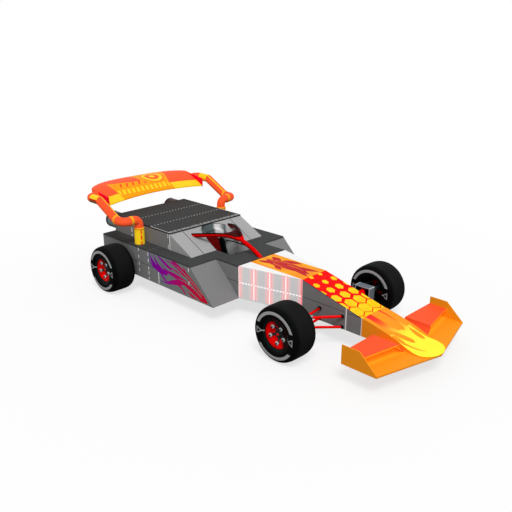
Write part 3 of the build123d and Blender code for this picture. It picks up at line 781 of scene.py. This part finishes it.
def headrest_shell():
    """Grey shell with a painted highlight, nearly black on its top edge."""
    finish = Bodywork("headrest_grey", paint("6C7A7C"), 0.4, 0.1)
    rim = finish.facing[2].above(0.6, 0.1)
    # painted highlight: a white spot on the shell
    finish.layer(paint("FFFFFF"), painted_highlight(finish.xyz[1]))
    finish.layer(paint("0A0C0C"), rim)
    finish.cover("headrest")


def floor_paint(name, edge, node):
    """Dark floor, whose edges take the colour of the panels above."""
    finish = Bodywork(name, edge, 0.6, 0.06, 0.1)
    finish.layer(paint("2E2E2E"), abs(finish.facing[2]).above(0.97, 0.02))
    finish.cover(node)


def grip():
    """Black rubber on the steering wheel."""
    finish = Bodywork("grip_black", paint("1A1A1A"), 0.7)
    finish.cover("steering_wheel")


side_panels()
deck()
roof()
cover_sides()
plain_grey()
ramps()
footwell()
nose_wedge()
nose_cone()
front_wing()
rear_wing()
arms()
for wheel in ("front_left", "front_right", "rear_left", "rear_right"):
    tyre_rubber(wheel)
    rim_paint(wheel)
wishbones()
exhaust_metal()
bare_metal("axle_steel", paint("9A9CA0"), 0.3, "rear_axle", "steering_column")
bare_metal("cast_block", paint("7A7C80"), 0.45, "engine_block")
halo_paint()
upright_paint()
seat_shell()
headrest_shell()
floor_paint("tray_skin", GREY, "floor_tray")
floor_paint("footwell_skin", WHITE, "footwell_floor")
grip()

# ---------------- worked surfaces


def piece(name, finish, body, grids):
    """One object from grids of points, each rows by columns by 3. The columns join up round the back."""
    points, faces, start = [], [], 0
    for grid in grids:
        rows, columns = grid.shape[:2]
        index = np.arange(rows * columns).reshape(rows, columns) + start
        ahead = np.roll(index, -1, axis=1)
        faces.append(np.stack([index[:-1], ahead[:-1], ahead[1:], index[1:]], axis=-1).reshape(-1, 4))
        points.append(grid.reshape(-1, 3))
        start += rows * columns
    mesh = bpy.data.meshes.new(name)
    mesh.from_pydata(np.concatenate(points).tolist(), [], np.concatenate(faces).tolist())
    shell = bmesh.new()
    shell.from_mesh(mesh)
    bmesh.ops.remove_doubles(shell, verts=shell.verts, dist=1e-6)
    bmesh.ops.recalc_face_normals(shell, faces=shell.faces)
    shell.to_mesh(mesh)
    shell.free()
    mesh.shade_smooth()
    mesh.set_sharp_from_angle(angle=math.radians(35))
    mesh.materials.append(finish.material)
    made = bpy.data.objects.new(name, mesh)
    bpy.context.scene.collection.objects.link(made)
    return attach(made, body)


def turned(profile, centre, axis, sides=24, flats=0, first=(0, 0, 1)):
    """A profile turned about an axis, as a grid. Each profile point is (distance along it, radius). With
    flats the radius at an angle t is divided by cos((t + h) mod 2h - h), where h is pi / flats: a prism."""
    along, radius = np.array(profile, float).T
    angle = np.arange(sides) * 2 * np.pi / sides
    if flats:
        half = np.pi / flats
        radius = radius[:, None] / np.cos((angle + half) % (2 * half) - half)
    else:
        radius = radius[:, None] * np.ones(sides)
    axis = np.array(axis, float)
    first = np.array(first, float)
    second = np.cross(axis, first)
    rim = np.cos(angle)[:, None] * first + np.sin(angle)[:, None] * second
    return np.array(centre, float) + along[:, None, None] * axis + radius[..., None] * rim


def slab(profile, centre, right, up, half_width, half_height):
    """A rounded plate, as a grid. Its outline at an angle t is (cos t, sin t) times the half sizes, over
    (|cos t| ** 4 + |sin t| ** 4) ** (1 / 4). Each profile point is (height, inset)."""
    angle = np.arange(48) * 2 * np.pi / 48
    corner = (np.abs(np.cos(angle)) ** 4 + np.abs(np.sin(angle)) ** 4) ** (-1 / 4)
    high, inset = np.array(profile, float).T
    across = np.maximum(half_width - inset[:, None], 0) * np.cos(angle) * corner
    upward = np.maximum(half_height - inset[:, None], 0) * np.sin(angle) * corner
    flat = across[..., None] * right + upward[..., None] * up
    return centre + flat + high[:, None, None] * np.cross(right, up)


def bright_metal(name, colour, rough, metallic):
    """Plated metal with fine streaks, and a darker film in the low places of its clouds."""
    finish = Finish(name, Specular_IOR_Level=0.4, Metallic=metallic)
    fine, cloud = finish.noise(420, 3.0, 0.6), finish.noise(30, 4.0)
    finish.feed(Base_Color=finish.shade(colour, fine * 0.15 + cloud * 0.25 + 0.8))
    finish.feed(Roughness=fine * 0.12 + cloud * 0.1 + rough)
    finish.relief(fine, 0.0004)
    return finish


NUT_TURN = math.radians(56)  # from straight ahead to the first nut


def spider(middle, side):
    """Five-armed plate on the dish, as a grid. Its edge at an angle t from the first arm is at
    R = 0.060 + 0.078 ((1 + cos 5t) / 2)^5. A point a share s of the way out stands on the dish's cone, at
    0.0965 + 0.4655 max(s R - 0.058, 0), plus 0.007 (1 - s^6)."""
    share = np.concatenate([np.linspace(0, 0.9, 10), [0.95, 1.0]])[:, None]
    turn = np.arange(120) * 2 * np.pi / 120
    edge = 0.060 + 0.078 * ((1 + np.cos(5 * (turn - NUT_TURN))) / 2) ** 5
    radius = share * edge
    high = 0.0965 + 0.4655 * np.maximum(radius - 0.058, 0) + 0.007 * (1 - share**6)
    x, z = middle.x + radius * np.cos(turn), middle.z + radius * np.sin(turn)
    return np.stack([x, middle.y + side * high, z], axis=-1)


def round_wheels():
    """Five studs with hexagon nuts and a centre boss in each wheel's dish, and a valve on its lip."""
    silver = bright_metal("plated_nut", paint("D8E4E4"), 0.3, 0.35)
    black = bright_metal("black_stud", paint("0C1012"), 0.45, 0.1)
    boss = bright_metal("red_boss", paint("E00000"), 0.35, 0.0)
    nut = [(0.014, 0), (0.014, 0.0185), (0.017, 0.0205), (0.033, 0.0205), (0.036, 0.0175), (0.036, 0)]
    stud = [(0, 0), (0, 0.026), (0.010, 0.024), (0.014, 0.017), (0.036, 0.011), (0.050, 0.0105)]
    stud = stud + [(0.053, 0.0085), (0.053, 0)]
    hub = [(0, 0), (0, 0.058), (0.008, 0.056), (0.012, 0.050), (0.014, 0.040), (0.026, 0.036)]
    hub = hub + [(0.030, 0.032), (0.030, 0.026), (0.022, 0.024), (0.022, 0)]
    cap = [(0.020, 0), (0.020, 0.020), (0.030, 0.018), (0.036, 0.012), (0.038, 0)]
    valve = [(0, 0), (0, 0.0065), (0.010, 0.0055), (0.014, 0.0045), (0.028, 0.0045), (0.030, 0.0038)]
    valve = valve + [(0.030, 0)]
    for wheel, side in ((f"{end}_{name}", side) for end in ("front", "rear") for name, side in SIDES):
        middle = middle_of(f"tyre_{wheel}")
        body = f"wheel_{wheel}"
        out = (0, side, 0)

        def in_dish(ahead, outward, upward):
            return (middle.x + ahead, middle.y + side * outward, middle.z + upward)

        turns = [NUT_TURN + math.radians(72 * k) for k in range(5)]
        spots = [in_dish(0.106 * math.cos(t), 0.112, 0.106 * math.sin(t)) for t in turns]
        centre = in_dish(0, 0.096, 0)
        piece(f"wheel_nuts_{wheel}", silver, body, [turned(nut, p, out, 24, 6) for p in spots])
        grids = [turned(stud, p, out, 20) for p in spots]
        grids = grids + [turned(hub, centre, out, 40), spider(middle, side)]
        piece(f"wheel_studs_{wheel}", black, body, grids)
        piece(f"hub_boss_{wheel}", boss, body, [turned(cap, centre, out, 32)])
        stem = turned(valve, in_dish(0, 0.150, -0.190), out, 12)
        piece(f"tyre_valve_{wheel}", black, body, [stem])


def pipe_bands():
    """Raised clamps round both wing arms, on the outward and rearward runs, and a lip on each foot sleeve."""
    amber = Bodywork("amber_band", paint("FFB020"), 0.45, 0.1)
    amber.cover()
    pipe = 0.28 * MODULE
    run_z, arm_y, foot_x, foot_y = DECK_Z + 1.58 * MODULE, 4.6 * MODULE, station(-7.5), 3.5 * MODULE
    sleeve_z = DECK_Z + 0.95 * MODULE + 0.012
    ring = [(-0.017, pipe - 0.002), (-0.017, pipe + 0.003), (-0.013, pipe + 0.006), (0.013, pipe + 0.006)]
    ring = ring + [(0.017, pipe + 0.003), (0.017, pipe - 0.002)]
    lip = [(-0.012, pipe - 0.002), (-0.012, pipe + 0.007), (-0.006, pipe + 0.012), (0.006, pipe + 0.012)]
    lip = lip + [(0.014, pipe + 0.004), (0.016, pipe - 0.002)]
    for name, side in SIDES:
        grids = [
            turned(ring, (foot_x, side * 0.932, run_z), (0, 1, 0), 48),
            turned(ring, (ARM_BAND_X, side * arm_y, run_z), (1, 0, 0), 48),
            turned(lip, (foot_x, side * foot_y, sleeve_z), (0, 0, 1), 48, 0, (1, 0, 0)),
        ]
        piece(f"pipe_bands_{name}", amber, "chassis", grids)


def exhaust_lips():
    """A rolled lip round each exhaust mouth: a circle of 7 mm about the pipe's edge, carried round it."""
    soot = Bodywork("sooty_lip", paint("060607"), 0.7, 0.02, 0.1)
    soot.cover()
    mouth_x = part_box("exhausts")[0].x + 0.004
    pipe_y, pipe_z, radius = 2.48 * MODULE, DECK_Z + 0.5 * MODULE, 0.56 * MODULE
    turn = np.linspace(0, 2 * np.pi, 13)
    bead = np.stack([0.007 * np.cos(turn), radius - 0.004 + 0.007 * np.sin(turn)], axis=1)
    grids = [turned(bead, (mouth_x, side * pipe_y, pipe_z), (1, 0, 0), 64) for _, side in SIDES]
    piece("exhaust_lips", soot, "chassis", grids)


def roof_rivets():
    """Domed rivet heads along two roof seams and the front edge. The height at r is h (1 - (r / R)^2)."""
    pale = bright_metal("rivet_heads", paint("B8B8B8"), 0.5, 0.2)
    reach = np.linspace(1, 0, 5)
    dome = [(-0.002, 0), (-0.002, 0.0105)] + [(0.0035 * (1 - r * r), 0.0105 * r) for r in reach]
    rows = (station(-7), station(-9), ROOF_HIGH.x - 0.044)
    places = [(x, y, ROOF_HIGH.z) for x in rows for y in np.arange(-11.5, 12) * MODULE / 4]
    grids = [turned(dome, place, (0, 0, 1), 10, 0, (1, 0, 0)) for place in places]
    piece("roof_rivets", pale, "chassis", grids)


def wheel_controls():
    """A blank display with a raised frame, six push buttons and two shift paddles on the steering wheel."""
    dark = Bodywork("display_black", paint("0A0C0E"), 0.25, 0.4, 0.03)
    _, y, z = dark.xyz
    screen = abs(y).below(0.040) * z.between(0.575, 0.612)
    dark.layer(paint("1C2A30"), screen)
    dark.cover()
    knob = Bodywork("button_colours", paint("D8D8D8"), 0.4, 0.2, 0.03)
    _, y, z = knob.xyz
    knob.layer(paint("E00000"), y.above(0.0) * z.above(0.58))
    knob.layer(paint("FFC800"), y.below(0.0) * z.below(0.56))
    knob.cover()
    hub = np.array([station(-2), 0, DECK_Z - 0.5 * MODULE])
    out = np.array([-1, 0, 0.2]) / math.hypot(1, 0.2)
    right = np.array([0, -1, 0])
    up = np.cross(out, right)

    def at(across, upward, high):
        return hub + across * right + upward * up + high * out

    bezel = [(0, 0), (0.004, 0), (0.007, 0.002), (0.007, 0.006), (0.005, 0.008), (0.005, 0.5)]
    display = slab(bezel, at(0, 0.020, 0.012), right, up, 0.055, 0.030)
    edge = [(-0.003, 0.5), (-0.003, 0.002), (-0.001, 0), (0.001, 0), (0.003, 0.002), (0.003, 0.5)]
    paddles = [slab(edge, at(side * 0.098, 0.008, -0.024), right, up, 0.030, 0.042) for side in (-1, 1)]
    piece("steering_display", dark, "steering", [display] + paddles)
    dome = [(0, 0), (0, 0.009), (0.004, 0.009), (0.007, 0.007), (0.008, 0.004), (0.0085, 0)]
    places = [(side * 0.074, high) for side in (-1, 1) for high in (0.042, 0.0, -0.042)]
    buttons = [turned(dome, at(a, b, 0.012), out, 20, 0, up) for a, b in places]
    piece("steering_buttons", knob, "steering", buttons)


# ---------------- padding


def fabric(name, colour, with_highlight=False):
    """Woven cloth: two sets of threads 3 mm apart cross at right angles, over soft clouds, with the
    headrest's painted highlight where asked.
    """
    finish = Finish(name, Specular_IOR_Level=0.05, Sheen_Weight=0.03)
    x, y, z = finish.xyz
    weft = (y + x).spacing(0.003).ramp(0.0, 0.0015)
    warp = (z - x).spacing(0.003).ramp(0.0, 0.0015)
    cloud = finish.noise(9, 4.0)
    # painted highlight: the headrest's white spot, on the lining
    base = finish.over(colour, paint("FFFFFF"), painted_highlight(y)) if with_highlight else colour
    finish.feed(Base_Color=finish.shade(base, weft * warp * 0.25 + cloud * 0.2 + 0.72))
    finish.feed(Roughness=cloud * 0.2 + 0.7)
    finish.relief(weft * warp, 0.0006)
    return finish


def apply_modifier(made, modifier):
    """Bakes a modifier into the mesh."""
    shown = made.evaluated_get(bpy.context.evaluated_depsgraph_get())
    mesh = bpy.data.meshes.new_from_object(shown)
    made.modifiers.remove(modifier)
    made.data = mesh


def points_of(made):
    flat = np.empty(len(made.data.vertices) * 3, dtype=np.float32)
    made.data.vertices.foreach_get("co", flat)
    return flat.reshape(-1, 3).astype(float)


def set_points(made, points):
    made.data.vertices.foreach_set("co", points.astype(np.float32).ravel())
    made.data.update()


def inflate(made, cap):
    """Blows a pad up as cloth under pressure. No point moves further than the cap."""
    before = points_of(made)
    puff = made.modifiers.new("puff", "CLOTH")
    puff.settings.use_pressure = True
    puff.settings.uniform_pressure_force = 4.0
    puff.settings.effector_weights.gravity = 0.0
    for moment in range(1, 21):
        bpy.context.scene.frame_set(moment)
    apply_modifier(made, puff)
    bpy.context.scene.frame_set(1)
    moved = points_of(made) - before
    length = np.linalg.norm(moved, axis=1, keepdims=True)
    set_points(made, before + moved * np.minimum(1, cap / np.maximum(length, 1e-9)))


def pad(name, finish, half, place, channels=None, cap=0.008):
    """Stuffed pad. It starts as the rounded block a = A c(u) c(v), b = B c(u) s(v), d = D s(u), where c and s
    are the cosine and sine to the power 0.35 with their sign kept. Place lays it where it belongs. The block
    is remeshed evenly and blown up by at most the cap. Its sewn channels are pressed in afterwards: they are
    given by the axis along which they follow each other, a place on it, and their pitch."""
    bend = np.linspace(-np.pi / 2, np.pi / 2, 33)
    u, v = np.meshgrid(bend, np.arange(64) * 2 * np.pi / 64, indexing="ij")

    def soft(wave):
        return np.sign(wave) * np.abs(wave) ** 0.35

    wide, long, thick = (size - cap * 0.7 for size in half)
    ring = soft(np.cos(u))
    block = [wide * ring * soft(np.cos(v)), long * ring * soft(np.sin(v)), thick * soft(np.sin(u))]
    made = piece(name, finish, "chassis", [place(np.stack(block, axis=-1))])
    even = made.modifiers.new("even", "REMESH")
    even.mode, even.voxel_size = "VOXEL", 0.005
    apply_modifier(made, even)
    inflate(made, cap)
    smooth = made.modifiers.new("smooth", "SUBSURF")
    smooth.levels = smooth.render_levels = 1
    apply_modifier(made, smooth)
    if channels:
        axis, first, pitch = channels
        spots = points_of(made)
        normals = np.empty(len(spots) * 3, dtype=np.float32)
        made.data.vertices.foreach_get("normal", normals)
        sunk = grooves(spots[:, axis] - first, pitch)
        set_points(made, spots - normals.reshape(-1, 3) * sunk[:, None])
    made.data.shade_smooth()


def grooves(distance, pitch):
    """Depth of channels a pitch apart: w exp(-(d / w)^2), where w is 5 mm and d is the way to the nearest."""
    near = np.abs((distance / pitch + 0.5) % 1 - 0.5) * pitch
    return 0.005 * np.exp(-((near / 0.005) ** 2))


def padding():
    """Back, squab and side pads in the seat, and the lining inside the headrest's collar."""
    low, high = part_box("seat")
    cover = ROOF_HIGH.x
    red = fabric("dark_red_cloth", paint("720000"))
    black = fabric("black_cloth", paint("101616"))
    # the grey lining carries the headrest's painted highlight
    grey = fabric("grey_lining", paint("63706F"), with_highlight=True)
    foot = np.array([cover + 0.85 * MODULE, 0, low.z + 0.06])
    top = np.array([cover + 0.30 * MODULE, 0, high.z])
    up = (top - foot) / np.linalg.norm(top - foot)
    out = np.array([up[2], 0, -up[0]])
    right = np.array([0, 1, 0])
    middle = (foot + top) / 2 + up * 0.02
    collar = 0.87 * MODULE - 0.018

    def on_back(p):
        return middle + p[..., :1] * right + p[..., 1:2] * up + (p[..., 2:] + 0.014) * out

    def on_squab(p):
        return np.array([-0.625, 0, low.z + 0.074]) + p[..., [1, 0, 2]]

    def in_collar(p):
        radius = collar - 0.011
        turn = p[..., :1] / radius
        centre = np.array([cover + 0.010 + collar, 0, (DECK_Z + high.z) / 2 + 0.035])
        ring = (radius - p[..., 2:]) * np.concatenate([-np.cos(turn), np.sin(turn), turn * 0], axis=-1)
        return centre + ring + p[..., 1:2] * np.array([0, 0, 1])

    pad("seat_back_pad", red, (0.128, 0.215, 0.022), on_back, (2, low.z, 0.075))
    pad("seat_squab_pad", red, (0.128, 0.130, 0.024), on_squab, (0, 0.0, 0.065))
    for name, side in SIDES:

        def on_side(p, side=side):
            return np.array([-0.700, side * 0.139, low.z + 0.115]) + p[..., [0, 2, 1]]

        half = (0.100, 0.050, 0.016)
        pad(f"seat_side_pad_{name}", black, half, on_side, (0, 0.0, 0.09), cap=0.005)
    pad("headrest_lining", grey, (0.270, 0.085, 0.011), in_collar, cap=0.005)


round_wheels()
pipe_bands()
exhaust_lips()
roof_rivets()
wheel_controls()
padding()

# ---------------- studio


def studio_camera():
    """Camera ahead of the car on its right, a little above it."""
    camera = bpy.data.objects.new("studio_camera", bpy.data.cameras.new("studio_camera"))
    camera.data.sensor_width = 36.0
    camera.data.lens = 44.27
    camera.location = Vector((5.812, -5.848, 3.603))
    camera.rotation_euler = Vector((-0.66245, 0.67025, -0.33455)).to_track_quat("-Z", "Y").to_euler()
    bpy.context.scene.collection.objects.link(camera)
    bpy.context.scene.camera = camera


def studio_light():
    """One soft lamp from above, and white air that is half as bright where it only lights matt surfaces."""
    key = bpy.data.objects.new("key_lamp", bpy.data.lights.new("key_lamp", "SUN"))
    key.data.energy = 0.594 * math.pi
    key.data.angle = math.radians(25)
    key.rotation_euler = Vector((-0.25, 0.2, -0.5)).to_track_quat("-Z", "Y").to_euler()
    bpy.context.scene.collection.objects.link(key)
    world = bpy.data.worlds.new("studio_air")
    bpy.context.scene.world = world
    world.use_nodes = True
    air = Graph(world.node_tree)
    rays = ("Is Camera Ray", "Is Glossy Ray", "Is Transmission Ray")
    seen = any_of(air.node("LightPath", out=ray) for ray in rays)
    sky = world.node_tree.nodes["Background"]
    air.put(sky.inputs["Color"], (1, 1, 1, 1))
    air.put(sky.inputs["Strength"], seen * 0.5 + 0.5)


def studio_floor():
    """Wide pale floor that keeps the car's shadow and turns white further out."""
    mesh = bpy.data.meshes.new("studio_floor")
    reach = 80.0
    corners = [(-reach, -reach, 0), (reach, -reach, 0), (reach, reach, 0), (-reach, reach, 0)]
    mesh.from_pydata(corners, [], [(0, 1, 2, 3)])
    floor = bpy.data.objects.new("studio_floor", mesh)
    bpy.context.scene.collection.objects.link(floor)
    ground = Finish("pale_floor")
    east, north, _ = ground.xyz
    far = (east * east + north * north).root().ramp(3.2, 6.5)
    pale = ground.node("BsdfDiffuse", None, {"Color": (0.95, 0.95, 0.95, 1)})
    bounce = ground.node("BsdfDiffuse", None, {"Color": (0.3, 0.3, 0.3, 1)})
    white = ground.node("Emission", None, {"Color": (1, 1, 1, 1)})
    shown = ground.node("MixShader", None, {0: far * 0.3 + 0.7, 1: pale, 2: white})
    camera_ray = ground.node("LightPath", out="Is Camera Ray")
    shown = ground.node("MixShader", None, {0: camera_ray, 1: bounce, 2: shown})
    ground.put(ground.tree.nodes["Material Output"].inputs["Surface"], shown)
    ground.tree.nodes.remove(ground.shader)
    mesh.materials.append(ground.material)


studio_camera()
studio_light()
studio_floor()
bpy.context.scene.view_settings.view_transform = "Standard"
